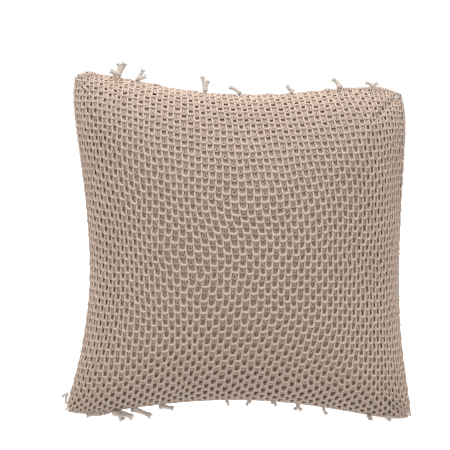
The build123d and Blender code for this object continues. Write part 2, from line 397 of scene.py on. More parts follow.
def blow_up(front_points, back_points):
    """Cloth simulation of the closed cover, held along its seam."""
    front_ids, back_ids, faces = joined_faces()
    points = np.zeros((back_ids.max() + 1, 3))
    points[back_ids] = back_points
    points[front_ids] = front_points
    mesh = bpy.data.meshes.new("cover_form")
    mesh.from_pydata(points.tolist(), [], faces)
    form = in_scene("cover_form", mesh)
    rim_ids = np.concatenate([front_ids[0], front_ids[-1], front_ids[:, 0], front_ids[:, -1]])
    held = form.vertex_groups.new(name="seam")
    held.add(np.unique(rim_ids).tolist(), 1.0, "REPLACE")
    cloth = form.modifiers.new("cloth", "CLOTH")
    cloth.settings.quality = 6
    cloth.settings.vertex_group_mass = "seam"
    cloth.settings.use_pressure = True
    cloth.settings.uniform_pressure_force = pressure
    cloth.settings.tension_stiffness = 12
    cloth.settings.compression_stiffness = 6
    cloth.settings.bending_stiffness = 0.6
    cloth.settings.effector_weights.gravity = 0
    cloth.collision_settings.use_collision = False
    cloth.point_cache.frame_start = 1
    cloth.point_cache.frame_end = steps
    for step in range(1, steps + 1):
        scene.frame_set(step)
    blown = form.evaluated_get(bpy.context.evaluated_depsgraph_get()).data
    moved = np.zeros(len(blown.vertices) * 3)
    blown.vertices.foreach_get("co", moved)
    way = moved.reshape(-1, 3) - points
    length = np.linalg.norm(way, axis=1, keepdims=True)
    points = points + way * np.minimum(1, cap / np.maximum(length, 1e-9))
    scene.frame_set(1)
    bpy.data.objects.remove(form)
    print("cloth moved by up to", round(float(length.max()), 4), "m")
    return points[front_ids], points[back_ids]


front_form, back_form = blow_up(form_of(front_side, start_fullness), form_of(back_side, start_fullness))
front_form[..., 1] *= crown / np.abs(front_form[..., 1]).max()
back_form[..., 1] *= crown / np.abs(back_form[..., 1]).max()
form_low, form_high = front_form.min((0, 1)), back_form.max((0, 1))
print("filled cover", np.round(form_low, 4), np.round(form_high, 4))

# %% [markdown]
# ## Reading the cloth anywhere
# Stitches fall between the grid's points, so the grid is read with a smooth curve through its nearest four
# points each way. One row of the other face is added all round, and with it the cloth turns the corner at
# the seam. Each layer lies at its own depth below the outside of the cover.

# %% Cloth reader
def curve_weights(x):
    return (
        0.5 * (-x + 2 * x**2 - x**3),
        0.5 * (2 - 5 * x**2 + 3 * x**3),
        0.5 * (x + 4 * x**2 - 3 * x**3),
        0.5 * (-(x**2) + x**3),
    )


def smooth_read(table, a, b):
    """Catmull-Rom reading of a table at fractional rows a and columns b."""
    rows, columns = table.shape[:2]
    a = np.clip(a, 1, rows - 2 - 1e-6)
    b = np.clip(b, 1, columns - 2 - 1e-6)
    row, column = a.astype(int), b.astype(int)
    total = 0
    for i, weight_a in enumerate(curve_weights(a - row)):
        for j, weight_b in enumerate(curve_weights(b - column)):
            total = total + (weight_a * weight_b)[..., None] * table[row + i - 1, column + j - 1]
    return total


def with_border(grid, other):
    """The grid and one more row all round, taken from the other face."""
    wide = np.zeros((cells + 3, cells + 3, 3))
    wide[1:-1, 1:-1] = grid
    wide[0, 1:-1], wide[-1, 1:-1] = other[1], other[-2]
    wide[1:-1, 0], wide[1:-1, -1] = other[:, 1], other[:, -2]
    for i, j in ((0, 0), (0, -1), (-1, 0), (-1, -1)):
        wide[i, j] = other[1 if i == 0 else -2, 1 if j == 0 else -2]
    return wide


wide_grids = {
    front_side: with_border(front_form, back_form),
    back_side: with_border(back_form, front_form),
}
slope_step = 0.70 / cells     # a little over a third of a grid cell


def skin(face, s, t):
    return smooth_read(wide_grids[face], (s + 1) / 2 * cells + 1, (t + 1) / 2 * cells + 1)


def outward(face, read, s, t):
    """The direction straight out of a face, from two short steps each way."""
    across = read(s + slope_step, t) - read(s - slope_step, t)
    upward = read(s, t + slope_step) - read(s, t - slope_step)
    out = np.cross(across, upward) * (1 if face == front_side else -1)
    return out / np.maximum(np.linalg.norm(out, axis=-1, keepdims=True), 1e-12)


probe = skin(front_side, np.array([0.0]), np.array([0.0]))
print("front middle", np.round(probe, 4))

# %% [markdown]
# ## Room for the zip
# The zip lies flat across the lower back, where the cloth settles onto it. Points near the zip are brought
# to a height above the zip's plane, fully between its ends and less and less further away. The plane's
# place comes from the CAD tapes.

# %% Zip plane
zip_lean = math.radians(27)
tape_boxes = [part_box("zip_tape_upper"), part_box("zip_tape_lower")]
zip_middle = sum((low + high for low, high in tape_boxes), Vector()) / 4
zip_half = (tape_boxes[0][1].x - tape_boxes[0][0].x) / 2
zip_origin = np.array(zip_middle)
zip_along = np.array((-1.0, 0.0, 0.0))
zip_up = np.array((0.0, math.sin(zip_lean), math.cos(zip_lean)))
zip_out = np.array((0.0, math.cos(zip_lean), -math.sin(zip_lean)))
settle_flat = 0.012
settle_reach = 0.050
settle_end = 0.040


def fade(x):
    """1 at 0 and below, 0 at 1 and above, smooth between."""
    x = np.clip(x, 0, 1)
    return 1 - x * x * (3 - 2 * x)


def zip_place(points):
    """Along, up and out of the zip's plane."""
    away = points - zip_origin
    return away @ zip_along, away @ zip_up, away @ zip_out


def near_zip(points, reach=settle_reach):
    along, up, _ = zip_place(points)
    sideways = fade((np.abs(along) - zip_half) / settle_end)
    return fade((np.abs(up) - settle_flat) / reach) * sideways


def settled(points, rest):
    """Points of the back, brought to the height rest over the zip's plane near the zip."""
    share = near_zip(points)
    share = share * (points[..., 1] > 0)
    out = zip_place(points)[2]
    return points + ((rest - out) * share)[..., None] * zip_out


def layer_reader(face, depth, rest):
    """A function that reads one layer of cloth, depth below the outside of the cover."""
    def read(s, t):
        points = skin(face, s, t)
        points = points - depth * outward(face, lambda a, b: skin(face, a, b), s, t)
        return settled(points, rest) if face == back_side else points
    return read


print("zip at", np.round(zip_origin, 4), "half length", round(zip_half, 4))

# %% [markdown]
# ## Columns and rows of stitches
# The cover has 66 columns and 53 rows on each face. The filling stretches the knit in the middle and
# leaves it slack at the edges, so the stitches are wide in the middle and narrow at the sides. Their
# places come from adding up a width that falls off towards the edge. Slow random wandering keeps the rows
# from looking ruled.

# %% Stitch spacing
columns = 66
front_rows = 53
edge_evenness = 2        # how quickly the stitches get even towards the far seams
half_width, half_height = 0.215, 0.205


def facing(x):
    """How squarely the cloth faces forwards at a cover position: 1 in the middle, 0 at the seam."""
    steepness = crown / half_width * edge_slope * roundness * np.abs(x) ** (roundness - 1)
    rounding = (1 - np.abs(x) ** roundness) ** (1 - edge_slope)
    return rounding / np.hypot(rounding, steepness)


def column_width(u):
    return (1 - 0.06 * u - 0.46 * u**2) * facing(u)


def row_height(v):
    return (1 + 0.09 * v) * facing(v)


def stitch_places(width_of, low, high, count):
    """Cover positions of the edges between count stitches, as a function of the stitch number."""
    fine = np.linspace(low, high, 4001)
    passed = np.concatenate([[0], np.cumsum(1 / width_of((fine[1:] + fine[:-1]) / 2))])
    return lambda number: np.interp(number, passed / passed[-1] * count, fine)


def wandering(seed, period, amount):
    """A smooth random shift that depends on the column and the row."""
    table = np.random.default_rng(seed).normal(0, amount, (64, 64, 1))
    def read(column, row):
        return smooth_read(table, column / period + 3, row / period + 3)[..., 0]
    return read


column_u = stitch_places(column_width, -1, 1, columns)
even_column_u = stitch_places(facing, -1, 1, columns)
row_v = stitch_places(row_height, -1, 1, front_rows)
even_row_v = stitch_places(facing, -1, 1, front_rows)
middle_stitch = float(column_u(columns / 2 + 0.5) - column_u(columns / 2 - 0.5)) * half_width * 1000
middle_row = float(row_v(front_rows / 2 + 0.5) - row_v(front_rows / 2 - 0.5)) * half_height * 1000
print("middle stitch is", round(middle_stitch, 2), "mm wide and", round(middle_row, 2), "mm high")

# %% [markdown]
# ## One stitch
# In seed stitch, knit and purl loops take turns along the row and from row to row. A knit loop's head lies
# in front as a flat bar and its legs come forward through the loop below; a purl loop is the same seen from
# behind, with its legs drawn together into the gap below the bar above it. The cover is worn upside down,
# so the bars sit at the bottom of their loops. Half of each loop is given below as points across, down and
# out, in stitch widths; the other half mirrors it.

# %% Stitch shape
knit_half = np.array([
    (-0.50, -0.50, -0.10),
    (-0.47, -0.62, -0.18),
    (-0.49, -0.38, -0.06),
    (-0.50, -0.08, 0.03),
    (-0.50, 0.22, 0.06),
    (-0.47, 0.54, 0.11),
    (-0.39, 0.65, 0.21),
    (0.00, 0.66, 0.26),
])
purl_half = np.array([
    (-0.50, -0.50, -0.08),
    (-0.38, -0.60, -0.08),
    (-0.22, -0.42, -0.19),
    (-0.16, -0.12, -0.25),
    (-0.16, 0.16, -0.28),
    (-0.25, 0.42, -0.27),
    (-0.25, 0.60, -0.27),
    (0.00, 0.65, -0.27),
])
yarn_radius = 0.00150
knit_loop, purl_loop = [
    np.concatenate([half, half[-2:0:-1] * (-1, 1, 1)]) for half in (knit_half, purl_half)
]


def course(row, count):
    """One row of loops as a single strand: column, row and depth of each point."""
    number = np.arange(count)
    knit = ((number + row) % 2 == 0)[:, None, None]
    loops = np.where(knit, knit_loop, purl_loop)
    across = number[:, None] + 0.5 + loops[..., 0]
    upward = row + 0.5 - loops[..., 1]
    points = np.stack([across, upward, loops[..., 2]], -1).reshape(-1, 3)
    last = knit_half[0]
    return np.concatenate([points, [(count, row + 0.5 - last[1], last[2])]])


print("a loop has", len(knit_loop), "points")

# %% [markdown]
# ## Strands
# Every yarn here is a tube swept along points. The rings are carried along the strand without twisting,
# their ends are closed, and two maps are written: yarn, for the plies, and OFBake, which lays the strands
# in strips so that a picture of the finish can be saved with the model.

# %% Strand maker
bake_margin = 0.004      # the share of the map left free at a strand's ends
strip_margin = 0.12      # the share of a strip left free at its sides
ply_offset = 0.37        # metres that set the plies of neighbouring strands apart


def rings_along(paths, radius, sides):
    """Rings of points round many paths at once; paths is strands x points x 3."""
    way = np.gradient(paths, axis=1)
    way = way / np.maximum(np.linalg.norm(way, axis=2, keepdims=True), 1e-12)
    first = np.cross(way[:, 0], (0.31, 0.74, 0.59))
    across = [first / np.linalg.norm(first, axis=1, keepdims=True)]
    for step in range(1, paths.shape[1]):
        carried = across[-1] - way[:, step] * (across[-1] * way[:, step]).sum(1, keepdims=True)
        across.append(carried / np.linalg.norm(carried, axis=1, keepdims=True))
    across = np.stack(across, 1)
    other = np.cross(way, across)
    angle = np.arange(sides) * turn / sides
    radius = np.broadcast_to(radius, paths.shape[:2])[..., None, None]
    around = np.cos(angle)[:, None] * across[:, :, None] + np.sin(angle)[:, None] * other[:, :, None]
    return paths[:, :, None] + radius * around


def strand_piece(name, groups, sides, folds=1):
    """One mesh of closed tubes. groups is a list of (paths, radius); folds is the strips per strand."""
    points, faces, yarn_map, bake_map = [], [], [], []
    strips = sum(len(paths) for paths, _ in groups) * folds
    offset, strip = 0, 0
    for paths, radius in groups:
        strands, count = paths.shape[:2]
        points.append(rings_along(paths, radius, sides).reshape(-1, 3))
        step = np.linalg.norm(np.diff(paths, axis=1), axis=2)
        length = np.concatenate([np.zeros((strands, 1)), np.cumsum(step, 1)], 1)
        m, k, s = np.meshgrid(np.arange(strands), np.arange(count - 1), np.arange(sides), indexing="ij")
        corner_k = np.stack([k, k, k + 1, k + 1], -1)
        corner_s = np.stack([s, s + 1, s + 1, s], -1)
        ids = (m[..., None] * count + corner_k) * sides + corner_s % sides + offset
        faces.extend(ids.reshape(-1, 4)[:, ::-1].tolist())
        along = length[m[..., None], corner_k] + ply_offset * m[..., None]
        around = corner_s / sides
        yarn_map.append(np.stack([along, around], -1).reshape(-1, 4, 2)[:, ::-1].reshape(-1, 2))
        fold_length = (count - 1) / folds
        fold = np.minimum((k / fold_length).astype(int), folds - 1)[..., None]
        in_fold = (corner_k - fold * fold_length) / math.ceil(fold_length)
        bake_u = bake_margin + (1 - 2 * bake_margin) * in_fold
        in_strip = strip_margin + (1 - 2 * strip_margin) * around
        bake_v = (strip + m[..., None] * folds + fold + in_strip) / strips
        bake_map.append(np.stack([bake_u, bake_v], -1).reshape(-1, 4, 2)[:, ::-1].reshape(-1, 2))
        for start_ring, order in ((0, 1), (count - 1, -1)):
            first = (np.arange(strands) * count + start_ring) * sides + offset
            caps = first[:, None] + np.arange(sides)[::order]
            faces.extend(caps.tolist())
            at_end = start_ring > 0
            cap_strip = strip + np.arange(strands) * folds + (folds - 1) * at_end
            cap_u = np.full(strands * sides, bake_margin + (1 - 2 * bake_margin) * at_end)
            cap_v = np.repeat((cap_strip + 0.5) / strips, sides)
            bake_map.append(np.stack([cap_u, cap_v], -1))
            yarn_map.append(np.zeros((strands * sides, 2)))
        offset += strands * count * sides
        strip += strands * folds
    return mesh_piece(name, np.concatenate(points), faces, {
        "yarn": np.concatenate(yarn_map), "OFBake": np.concatenate(bake_map),
    })


def mesh_piece(name, points, faces, maps):
    """An object from points and faces, smooth, with its maps; it rides on the cover."""
    mesh = bpy.data.meshes.new(name)
    mesh.from_pydata(points.tolist(), [], faces)
    mesh.polygons.foreach_set("use_smooth", [True] * len(mesh.polygons))
    for layer, values in maps.items():
        mesh.uv_layers.new(name=layer).data.foreach_set("uv", values.astype(np.float32).ravel())
    mesh.update()
    piece = in_scene(name, mesh)
    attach(piece, "cover")
    return piece


def finished(piece, material, node):
    """Gives the piece its material and hides the CAD node that it takes the place of."""
    piece.data.materials.append(material)
    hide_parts(node)
    print(piece.name, len(piece.data.polygons), "faces")
    return piece


# %% [markdown]
# ## Knitting the front
# The front panel is laid row by row on the cloth. Depth in a stitch grows with the stitch, and so does the
# yarn a little, so that the narrow stitches along the sides keep their holes. The panel is kept in a few
# objects, cut between two rows, only so that none of them is too heavy.

# %% Knit on the cloth
knit_depth = 0.0019      # the knit's middle below the outside of the cover
knit_rest = 0.0026       # the knit's middle above the zip's plane
widest_stitch = 0.0088
tightening = 0.50         # how much thinner the yarn is pulled in a narrow stitch
edge_flatness = 0.45      # how much of the stitches' depth is pulled flat at the seams
zip_flatness = 0.35       # the same beside the zip, so that the pull can lie over the knit
flat_reach = 0.022
side_sharpness, end_sharpness = 6, 3    # how close to the seams the flattening stays
smallest_size = 0.5
calm_columns, calm_rows = 3, 2          # stitches from the edge in which the wandering dies out

# (period in stitches, amount in stitches)
column_wander = [(9.0, 0.20), (3.1, 0.10), (1.3, 0.055)]
row_wander = [(9.0, 0.16), (3.1, 0.09), (1.3, 0.05)]


def wander_sum(wanders, seed, column, row):
    return sum(
        wandering(seed + number, period, amount)(column, row)
        for number, (period, amount) in enumerate(wanders)
    )


def knit_piece(name, face, rows, v_of, seed, node):
    """The given rows of loops on one face; v_of turns a column's u and a row into v."""
    read = layer_reader(face, knit_depth, knit_rest)
    strands = np.stack([course(row, columns) for row in rows])
    column, row, depth = strands[..., 0], strands[..., 1], strands[..., 2]
    calm = np.clip(np.minimum(column, columns - column) / calm_columns, 0, 1)
    calm = calm * np.clip(np.minimum(row, v_of.high - row) / calm_rows, 0, 1)
    moved_column = column + calm * wander_sum(column_wander, seed, column, row)
    moved_row = row + calm * wander_sum(row_wander, seed + len(column_wander), column, row)
    u = column_u(moved_column)
    v = v_of(u, moved_row)
    u = u + (even_column_u(moved_column) - u) * np.abs(v) ** edge_evenness
    s, t = uncrowded(u), uncrowded(v)
    middle = read(s, t)
    out = outward(face, read, s, t)
    width = np.linalg.norm(read(uncrowded(column_u(moved_column + 0.5)), t)
                           - read(uncrowded(column_u(moved_column - 0.5)), t), axis=-1)
    size = np.clip(width / widest_stitch, smallest_size, 1)
    at_edge = np.maximum(np.abs(u) ** side_sharpness, np.abs(v) ** end_sharpness)
    relief = np.sqrt(size) * (1 - edge_flatness * at_edge)
    if face == back_side:
        relief = relief * (1 - zip_flatness * near_zip(middle, flat_reach))
    paths = middle + out * (depth * widest_stitch * relief)[..., None]
    piece = strand_piece(name, [(paths, yarn_radius * size**tightening)], sides=6, folds=4)
    return finished(piece, knit_yarn, node)


class FaceRows:
    """Rows spread over a whole face."""

    def __init__(self, high):
        self.high = high

    def __call__(self, u, row):
        even_share = np.abs(u) ** edge_evenness
        return row_v(row) * (1 - even_share) + even_row_v(row) * even_share


front_spread = FaceRows(front_rows)
piece_rows = 15          # one object holds no more rows than this


def knit_panel(name, face, spread, seed, node):
    """A whole panel, cut between rows into objects of about the same height."""
    parts = math.ceil(spread.high / piece_rows)
    cuts = [round(spread.high * part / parts) for part in range(parts + 1)]
    return [
        knit_piece(f"{name}_{part + 1}", face, range(low, high), spread, seed, node)
        for part, (low, high) in enumerate(zip(cuts, cuts[1:]))
    ]


front_knit = knit_panel("front_knit_rows", front_side, front_spread, 11, "front_knit_panel")

# %% [markdown]
# ## Knitting the back
# The back has two panels that meet at the zip. Between the zip's ends their edges stay clear of the coil,
# and beyond its ends they come together in a short closed seam. For each column the place of the zip on
# the cloth is looked up, and the rows are spread between it and the seam.

# %% Knit on the back
edge_clear = 0.0096      # from the zip's middle to the knit's edge
edge_closed = 0.0018
closing_length = 0.018


class ZipRows:
    """Rows between the zip and the top or bottom seam of the back."""

    def __init__(self, rows, upper):
        self.high, self.upper = rows, upper
        read = layer_reader(back_side, knit_depth, knit_rest)
        self.u = np.linspace(-1, 1, 241)
        v = np.linspace(-0.97, -0.35, 200)
        u_grid, v_grid = np.meshgrid(self.u, v, indexing="ij")
        along, up, _ = zip_place(read(uncrowded(u_grid), uncrowded(v_grid)))
        at_zip = np.array([np.interp(0, up[i], along[i]) for i in range(len(self.u))])
        reach = fade((np.abs(at_zip) - zip_half) / closing_length)
        gap = edge_closed + (edge_clear - edge_closed) * reach
        wanted = gap if upper else -gap
        self.edge = np.array([np.interp(wanted[i], up[i], v) for i in range(len(self.u))])

        middle = float(np.median(self.edge))
        ends = (middle, 1) if upper else (-1, middle)
        self.place = stitch_places(facing, *ends, rows)
        self.middle = middle

    def __call__(self, u, row):
        share = row / self.high
        away = np.interp(u, self.u, self.edge) - self.middle
        return np.clip(self.place(row) + away * (1 - share if self.upper else share), -1, 1)


upper_rows, lower_rows = 43, 10
upper_spread, lower_spread = ZipRows(upper_rows, True), ZipRows(lower_rows, False)
back_upper_knit = knit_panel("back_knit_upper_rows", back_side, upper_spread, 31, "back_knit_upper")
back_lower_knit = knit_panel("back_knit_lower_rows", back_side, lower_spread, 51, "back_knit_lower")

# %% [markdown]
# ## Cloth layers
# Behind the knit lies a cotton lining, cut and sewn to the same shape, and inside it the insert: two
# cotton panels around the fibre. Each panel is a grid read from the same cloth at its own depth, with a
# little thickness.

# %% Cloth panels
panel_cells = 96
panel_reach = 0.998


def thicken(piece, thickness, offset):
    solid = piece.modifiers.new("thickness", "SOLIDIFY")
    solid.thickness = thickness
    solid.offset = offset


def panel(name, face, depth, rest, v_of, thickness):
    """One panel of cloth between the seams; v_of gives v from u and a share 0..1."""
    share = np.linspace(0, 1, panel_cells + 1)
    u_line = crowded(np.linspace(-panel_reach, panel_reach, panel_cells + 1))
    u_grid, v_share = np.meshgrid(u_line, share, indexing="ij")
    v_grid = v_of(u_grid, v_share)
    read = layer_reader(face, depth, rest)
    points = read(uncrowded(u_grid), uncrowded(v_grid))
    count = panel_cells + 1
    ids = np.arange(count * count).reshape(count, count)
    quads = grid_quads(ids)
    if face == back_side:
        quads = quads[:, ::-1]
    flat_u, flat_v = (u_grid.ravel() + 1) / 2, v_share.ravel()
    weave = np.stack([flat_u, (v_grid.ravel() + 1) / 2], -1)[quads.ravel()]
    bake = np.stack([flat_u, flat_v], -1)[quads.ravel()] * 0.98 + 0.01
    piece = mesh_piece(name, points.reshape(-1, 3), quads.tolist(), {"weave": weave, "OFBake": bake})
    thicken(piece, thickness, -1)
    return piece


def even_between(low, high, share):
    """Cover positions from low to high, closer together towards the seams."""
    start, end = uncrowded(low), uncrowded(high)
    return crowded(start + (end - start) * share)


cloth_end = float(crowded(panel_reach))


def whole(u, share):
    return even_between(-cloth_end, cloth_end, share)


def above_zip(u, share):
    return even_between(np.interp(u, upper_spread.u, upper_spread.edge), cloth_end, share)


def below_zip(u, share):
    return even_between(-cloth_end, np.interp(u, lower_spread.u, lower_spread.edge), share)


def woven_finish(name, dark, light, threads):
    """Plain weave: threads is the number across the cover."""
    finish = Finish(name, Roughness=0.9, Sheen_Weight=0.1)
    across, upward = finish.cloth_map("weave")
    warp = (across * (threads * turn)).wave()
    weft = (upward * (threads * turn)).wave()
    where = finish.place()
    slub = finish.noise(where, 320, 3, 0.6)
    shade = warp * 0.22 + weft * 0.22 + slub * 0.6
    finish.tone(shade, dark, light)
    finish.to_shader("Roughness", slub * 0.2 + 0.75)
    finish.bump(warp * 0.5 + weft * 0.5, 0.4, 0.0003)
    return finish.material


lining_cotton = woven_finish("lining_cotton", (0.37, 0.275, 0.213), (0.50, 0.383, 0.305), 520)
insert_cotton = woven_finish("insert_cotton", (0.62, 0.60, 0.56), (0.78, 0.76, 0.72), 620)

lining_depth, lining_rest = 0.0056, -0.0013
lining_thickness = 0.0003
for lining_name, lining_face, spread in (
    ("front_lining", front_side, whole),
    ("back_lining_upper", back_side, above_zip),
    ("back_lining_lower", back_side, below_zip),
):
    piece = panel(lining_name + "_cloth", lining_face, lining_depth, lining_rest, spread, lining_thickness)
    finished(piece, lining_cotton, lining_name)

# %% [markdown]
# Each lining panel is a cut sheet, and the knit over it goes with it, sewn in the same seams. The insert is
# made later, with its filling.

# %% [markdown]
# ## The insert
# The insert is a second, plain pillow: two cotton panels sewn together round their edge, filled with
# loose fibre. It is hidden by the cover, but it is what gives the pillow its shape, so its pieces are read
# from the same cloth a little further in, and pressed back behind the zip.

# %% Insert
insert_depth, insert_rest = 0.0066, -0.0056
insert_thickness = 0.0004
filling_depth, filling_rest = 0.0076, -0.0066
fibre_lump = 0.0008

insert_front = panel("insert_front_cloth", front_side, insert_depth, insert_rest, whole, insert_thickness)
finished(insert_front, insert_cotton, "insert_front_panel")
insert_back = panel("insert_back_cloth", back_side, insert_depth, insert_rest, whole, insert_thickness)
finished(insert_back, insert_cotton, "insert_back_panel")


def filling_points(face):
    """The fibre's outside on one face, with soft lumps."""
    read = layer_reader(face, filling_depth, filling_rest)
    lumps = wandering(70 + face, 4.0, fibre_lump)(grid_u * 28 + 28, grid_v * 26 + 26)
    inside = 1 - np.maximum(np.abs(grid_u), np.abs(grid_v)) ** 8
    points = read(grid_s, grid_t)
    inward = outward(face, read, grid_s, grid_t) * (np.abs(lumps) * inside)[..., None]
    return points - inward


front_fibre, back_fibre = filling_points(front_side), filling_points(back_side)
rim_mask = np.maximum(np.abs(grid_s), np.abs(grid_t)) > 1 - 1e-9
shared_rim = (front_fibre + back_fibre) / 2
front_fibre[rim_mask], back_fibre[rim_mask] = shared_rim[rim_mask], shared_rim[rim_mask]
front_ids, back_ids, fibre_faces = joined_faces()
fibre_points = np.zeros((back_ids.max() + 1, 3))
fibre_points[back_ids] = back_fibre
fibre_points[front_ids] = front_fibre

fibre = Finish("loose_fibre", Roughness=0.95, Sheen_Weight=0.3)
fibre_strands = fibre.noise(fibre.place(), 420, 4, 0.7)
fibre.tone(fibre_strands, (0.78, 0.78, 0.76), (0.92, 0.92, 0.90))
fibre.bump(fibre_strands, 0.8, 0.002)
filling = mesh_piece("fibre_fill", fibre_points, fibre_faces, {})
finished(filling, fibre.material, "fibre_filling")

# %% [markdown]
# ## Edges of the cover
# The four seams are followed by strands. Along the top and the bottom the knitting was cast on and bound
# off, so the edge is a lumpy row of loops over a thicker core; near the left end of the bottom the edge has
# rolled over on itself. Down the sides the panels are joined edge to edge with small stitches that sink
# between the loops.

# %% Seams
seam_inset, join_inset, sewn_inset = 0.0022, 0.0036, 0.0060
edge_ends, join_ends, sewn_ends = (0.012, 0.988), (0.01, 0.99), (0.02, 0.98)
edge_yarn, join_yarn, sewing_thread = 0.00145, 0.0012, 0.0005      # radii
plain_radius = 0.0017
bulge_start = 0.0018     # an edge wound wider than this grows outwards
turn_points = 10
long_winding = 40        # windings with more turns than this are uneven


def edge_frame(name, share):
    """Points of a seam and the way straight out of the pillow there; share runs 0..1."""
    s = uncrowded(share * 2 - 1)
    fixed = np.ones_like(s)
    s, t = {
        "bottom": (s, -fixed), "top": (s, fixed), "left": (-fixed, s), "right": (fixed, s),
    }[name]
    points = skin(front_side, s, t)
    along = np.gradient(points, axis=0)
    along = along / np.linalg.norm(along, axis=1, keepdims=True)
    middle = np.array((cover_shift[0], 0, cover_shift[1]))
    out = np.cross(along, (0, 1, 0))
    out = out * np.sign(((points - middle) * out).sum(1, keepdims=True))
    return points, out


def helix(name, ends, radius, turns, phase, inset, squash=1.0):
    """A strand wound round a seam's own line."""
    share = np.linspace(*ends, int(turns * turn_points) + 1)
    points, out = edge_frame(name, share)
    uneven = wandering(int(turns), 0.012, 0.35)(share, 0 * share) if turns > long_winding else 0
    angle = turn * (turns * (share - ends[0]) / (ends[1] - ends[0]) + uneven) + phase
    radius = np.broadcast_to(radius(share) if callable(radius) else radius, share.shape)
    centre = points - out * (inset - 0.5 * np.maximum(radius - bulge_start, 0))[:, None]
    side_way = np.array((0.0, 1.0, 0.0))
    offset = out * (np.cos(angle) * radius)[:, None] + side_way * (np.sin(angle) * radius * squash)[:, None]
    return (centre + offset)[None]


def rolled(share):
    """The bottom edge is thicker where it has rolled over, near its left end."""
    roll = np.exp(-(((share - 0.115) / 0.035) ** 2))
    return plain_radius + 0.0030 * roll


def plain_edge(share):
    """The top edge, a little lumpy where the bound-off loops bunch up, most of all near its left end."""
    bunch = np.exp(-(((share - 0.055) / 0.028) ** 2))
    lumps = np.maximum(wandering(5, 0.02, 1.0)(share, 0 * share), -1)
    return plain_radius + 0.0024 * bunch + 0.0006 * lumps


stitches_along = 56
for seam, radius in (("bottom", rolled), ("top", plain_edge)):
    wound = [
        (helix(seam, edge_ends, radius, stitches_along, phase, seam_inset), edge_yarn)
        for phase in (0.0, math.pi)
    ]
    core = helix(seam, edge_ends, lambda share: 0.25 * radius(share), 9, 1.0, seam_inset)
    core_share = np.linspace(*edge_ends, core.shape[1])
    wound.append((core, 0.75 * radius(core_share)[None]))
    piece = strand_piece(seam + "_edge", wound, sides=8, folds=8)
    finished(piece, seam_yarn, seam + "_seam")

for seam in ("left", "right"):
    stitches = helix(seam, join_ends, 0.0013, 58, 0.0, join_inset, squash=2.2)
    piece = strand_piece(seam + "_join", [(stitches, join_yarn)], sides=8, folds=8)
    finished(piece, seam_yarn, seam + "_seam")

insert_edge = np.concatenate([
    helix(name, sewn_ends, sewing_thread, 30, 0.0, sewn_inset)[0][::order]
    for name, order in (("bottom", 1), ("right", 1), ("top", -1), ("left", -1))
])[None]
piece = strand_piece("insert_sewn_edge", [(insert_edge, sewing_thread)], sides=6, folds=16)
finished(piece, insert_cotton, "insert_edge_seam")

# %% [markdown]
# ## Knotted yarn ends
# Where a yarn was started or ended in the knitting, its ends are tied off on the seam and left long. Each
# knot is a small closed loop of yarn pulled tight; each end is three plies twisted together that open out
# at the cut. An end that would reach below the surface that the pillow stands on lies forwards instead.

# %% Knots and loose ends
tail_share = 0.80        # a loose end's radius as a share of its knot's
tip_radius = 0.0011
room_below = 0.0003
knot_lift = 0.75         # how far out of the seam a knot's middle lies, in knot radii
loop_size, loop_yarn = 0.68, 0.40       # in knot radii
ply_turn = 0.007         # metres of a loose end for one turn of its plies
opening_start = 0.7      # where along the end the plies begin to open out
hair_count, hair_radius = 6, 0.00014
hair_start, hair_end = 0.55, 1.12       # shares of the end's length
# (share of the seam, how far in front of it, knot radius, ends as (lean in degrees, length)); metres
top_knots = [
    (0.145, 0, 0.0045, [(31, 0.0115), (2, 0.0085), (-62, 0.0060)]),
    (0.203, 0, 0.0035, [(30, 0.0095), (72, 0.0065)]),
    (0.402, 0, 0.0035, [(-12, 0.0145), (20, 0.0085)]),
    (0.503, 0, 0.0034, [(-62, 0.0105)]),
    (0.658, 0, 0.0032, [(-38, 0.0060)]),
    (0.798, 0, 0.0040, [(-42, 0.0085)]),
    (0.898, 0, 0.0028, [(-68, 0.0060), (65, 0.0040)]),
]
bottom_knots = [
    (0.103, 0, 0.0030, [(-80, 0.010)]),
    (0.158, 0.006, 0.0048, [(26, 0.016), (68, 0.018)]),
    (0.208, 0, 0.0046, [(66, 0.020)]),
    (0.284, 0, 0.0038, [(80, 0.013)]),
    (0.468, 0, 0.0028, [(20, 0.003)]),
    (0.530, 0, 0.0030, [(-25, 0.003)]),
    (0.595, 0, 0.0028, [(40, 0.003)]),
    (0.665, 0, 0.0034, [(-42, 0.0035), (38, 0.0045)]),
    (0.738, 0, 0.0030, [(30, 0.005)]),
    (0.864, 0, 0.0036, [(4, 0.009)]),
    (0.915, 0.006, 0.0040, [(8, 0.011)]),
]
corner_knots = [
    (0.062, 0, 0.0026, [(-80, 0.010), (-35, 0.006)]),
]


def knot_loop(middle, radius, random):
    """A trefoil of yarn, turned at random: a knot pulled tight."""
    angle = np.linspace(0, turn, 61)
    loop_points = np.stack([
        np.sin(angle) + 2 * np.sin(2 * angle),
        -np.sin(3 * angle) * 1.3,
        np.cos(angle) - 2 * np.cos(2 * angle),
    ], -1) / 3
    spin = np.linalg.qr(random.normal(size=(3, 3)))[0]
    return middle + (loop_points @ spin) * radius * loop_size


